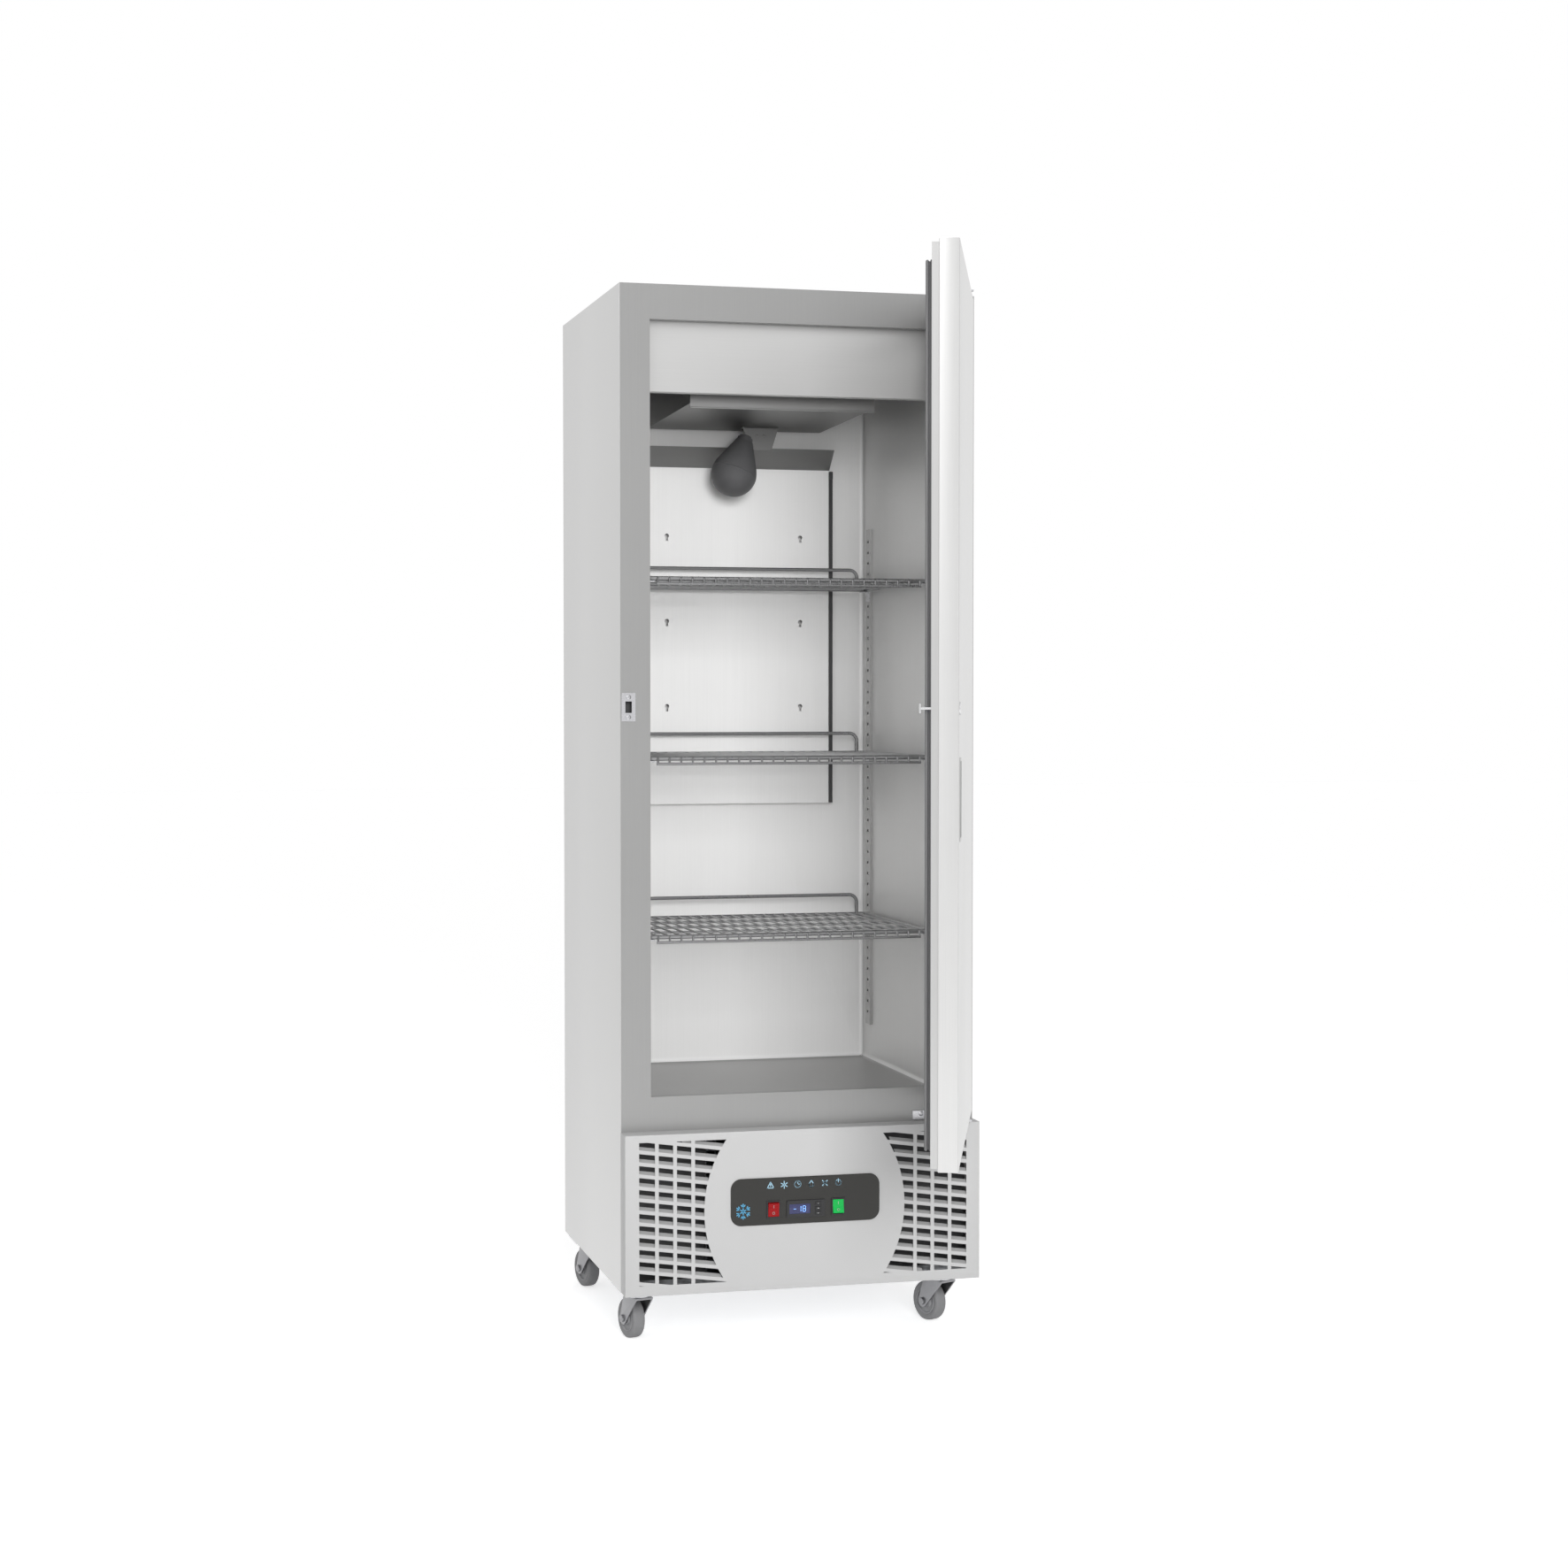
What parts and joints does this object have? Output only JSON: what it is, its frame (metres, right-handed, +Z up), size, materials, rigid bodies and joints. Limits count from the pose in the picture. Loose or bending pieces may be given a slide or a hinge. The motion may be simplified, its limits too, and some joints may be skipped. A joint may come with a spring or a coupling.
{
  "type": "upright freezer",
  "caption": "Tall cabinet freezer on castors: right-hinged solid door standing open, wire shelves, rear air duct, plinth with slotted grilles and a control panel.",
  "frame": {"origin": "on the floor, under the middle of the box round the whole object with its door standing open", "axes": "+X to the freezer's right as seen from its front, +Y to its back, +Z up"},
  "size_m": [0.68, 1.2496, 1.9595],
  "materials": {
    "casing_steel": "satin",
    "frame_steel": "satin",
    "foam": "matte",
    "liner_steel": "satin",
    "coil_aluminium": "satin",
    "fan_plastic": "matte",
    "lamp_plastic": "matte",
    "zinc_steel": "satin",
    "plinth_steel": "satin",
    "bezel_plastic": "satin",
    "black_plastic": "satin",
    "red_plastic": "gloss",
    "green_plastic": "gloss",
    "gasket_rubber": "matte",
    "lock_metal": "polished",
    "bush_plastic": "matte",
    "shelf_wire": "satin",
    "black_steel": "satin",
    "copper": "satin",
    "castor_steel": "satin",
    "castor_tyre": "matte"
  },
  "bodies": {
    "cabinet": {"side_panel_left": "casing_steel", "side_panel_right": "casing_steel", "top_panel": "casing_steel", "back_panel": "casing_steel", "underside_panel": "casing_steel", "front_frame": "frame_steel", "cabinet_insulation": "foam", "inner_liner": "liner_steel", "fascia_panel": "liner_steel", "evaporator_housing": "liner_steel", "evaporator_coil": "coil_aluminium", "evaporator_fan_frame": "fan_plastic", "interior_lamp": "lamp_plastic", "duct_panel": "liner_steel", "pilasters": "liner_steel", "shelf_clips": "liner_steel", "strike_plate": "frame_steel", "hinge_brackets": "zinc_steel", "plinth_panel": "plinth_steel", "control_bezel": "bezel_plastic", "controller": "black_plastic", "switch_bodies": "black_plastic", "base_tray": "zinc_steel", "compressor": "black_steel", "condenser": "coil_aluminium", "condenser_shroud": "zinc_steel", "condenser_fan_motor": "zinc_steel", "pipework": "copper", "drip_pan": "bush_plastic", "electrical_box": "black_plastic", "mains_inlet": "black_plastic", "rear_grille": "zinc_steel", "castor_plates": "zinc_steel", "screws": "zinc_steel"},
    "door": {"door_outer_pan": "casing_steel", "door_insulation": "foam", "door_inner_panel": "frame_steel", "door_gasket": "gasket_rubber", "door_handle": "casing_steel", "lock_barrel": "lock_metal", "door_bushes": "bush_plastic"},
    "lock_cylinder": {"lock_cylinder": "lock_metal"},
    "rocker_red": {"rocker_red": "red_plastic"},
    "rocker_green": {"rocker_green": "green_plastic"},
    "condenser_fan": {"condenser_fan": "fan_plastic"},
    "evaporator_fan": {"evaporator_fan": "fan_plastic"},
    "key_1": {"key_1": "black_plastic"},
    "key_2": {"key_2": "black_plastic"},
    "key_3": {"key_3": "black_plastic"},
    "shelf_bottom": {"shelf_bottom": "shelf_wire"},
    "shelf_middle": {"shelf_middle": "shelf_wire"},
    "shelf_top": {"shelf_top": "shelf_wire"},
    "castor_fork_front_left": {"castor_fork_front_left": "castor_steel"},
    "castor_wheel_front_left": {"castor_wheel_front_left": "castor_tyre"},
    "castor_fork_front_right": {"castor_fork_front_right": "castor_steel"},
    "castor_wheel_front_right": {"castor_wheel_front_right": "castor_tyre"},
    "castor_fork_back_left": {"castor_fork_back_left": "castor_steel"},
    "castor_wheel_back_left": {"castor_wheel_back_left": "castor_tyre"},
    "castor_fork_back_right": {"castor_fork_back_right": "castor_steel"},
    "castor_wheel_back_right": {"castor_wheel_back_right": "castor_tyre"}
  },
  "joints": [
    {"name": "door_hinge", "type": "hinge", "parent": "cabinet", "child": "door", "pos_m": [0.31, -0.01215, 0.421], "axis": [0, 0, 1], "range_deg": [-69.5, 40.5]},
    {"name": "lock_turn", "type": "hinge", "parent": "door", "child": "lock_cylinder", "pos_m": [0.08797, -0.60601, 1.182], "axis": [0.9367, -0.3502, 0], "range_deg": [0, 90]},
    {"name": "rocker_red_tilt", "type": "hinge", "parent": "cabinet", "child": "rocker_red", "pos_m": [-0.062, -0.0092, 0.2545], "axis": [1, 0, 0], "range_deg": [-16, 0]},
    {"name": "rocker_green_tilt", "type": "hinge", "parent": "cabinet", "child": "rocker_green", "pos_m": [0.062, -0.0092, 0.2545], "axis": [1, 0, 0], "range_deg": [0, 16]},
    {"name": "condenser_fan_spin", "type": "hinge", "parent": "cabinet", "child": "condenser_fan", "pos_m": [0, 0.15984, 0.2545], "axis": [0, 1, 0], "continuous": true},
    {"name": "evaporator_fan_spin", "type": "hinge", "parent": "cabinet", "child": "evaporator_fan", "pos_m": [0, 0.48685, 1.8292], "axis": [0, 1, 0], "continuous": true},
    {"name": "key_1_press", "type": "slide", "parent": "cabinet", "child": "key_1", "axis": [0, 1, 0], "range_m": [0, 0.0008], "stiffness_N_per_m": 500},
    {"name": "key_2_press", "type": "slide", "parent": "cabinet", "child": "key_2", "axis": [0, 1, 0], "range_m": [0, 0.0008], "stiffness_N_per_m": 500},
    {"name": "key_3_press", "type": "slide", "parent": "cabinet", "child": "key_3", "axis": [0, 1, 0], "range_m": [0, 0.0008], "stiffness_N_per_m": 500},
    {"name": "shelf_bottom_slide", "type": "slide", "parent": "cabinet", "child": "shelf_bottom", "axis": [0, -1, 0], "range_m": [0, 0.045]},
    {"name": "shelf_middle_slide", "type": "slide", "parent": "cabinet", "child": "shelf_middle", "axis": [0, -1, 0], "range_m": [0, 0.045]},
    {"name": "shelf_top_slide", "type": "slide", "parent": "cabinet", "child": "shelf_top", "axis": [0, -1, 0], "range_m": [0, 0.045]},
    {"name": "swivel_front_left", "type": "hinge", "parent": "cabinet", "child": "castor_fork_front_left", "pos_m": [-0.295, 0.09685, 0.09], "axis": [0, 0, 1], "continuous": true},
    {"name": "wheel_front_left_spin", "type": "hinge", "parent": "castor_fork_front_left", "child": "castor_wheel_front_left", "pos_m": [-0.30226, 0.12595, 0.0375], "axis": [-0.9703, -0.2419, 0], "continuous": true},
    {"name": "swivel_front_right", "type": "hinge", "parent": "cabinet", "child": "castor_fork_front_right", "pos_m": [0.295, 0.09685, 0.09], "axis": [0, 0, 1], "continuous": true},
    {"name": "wheel_front_right_spin", "type": "hinge", "parent": "castor_fork_front_right", "child": "castor_wheel_front_right", "pos_m": [0.28376, 0.12466, 0.0375], "axis": [-0.9272, -0.3746, 0], "continuous": true},
    {"name": "swivel_back_left", "type": "hinge", "parent": "cabinet", "child": "castor_fork_back_left", "pos_m": [-0.295, 0.55285, 0.09], "axis": [0, 0, 1], "continuous": true},
    {"name": "wheel_back_left_spin", "type": "hinge", "parent": "castor_fork_back_left", "child": "castor_wheel_back_left", "pos_m": [-0.30277, 0.58182, 0.0375], "axis": [-0.9659, -0.2588, 0], "continuous": true},
    {"name": "swivel_back_right", "type": "hinge", "parent": "cabinet", "child": "castor_fork_back_right", "pos_m": [0.295, 0.55285, 0.09], "axis": [0, 0, 1], "continuous": true},
    {"name": "wheel_back_right_spin", "type": "hinge", "parent": "castor_fork_back_right", "child": "castor_wheel_back_right", "pos_m": [0.28474, 0.58103, 0.0375], "axis": [-0.9397, -0.342, 0], "continuous": true}
  ]
}
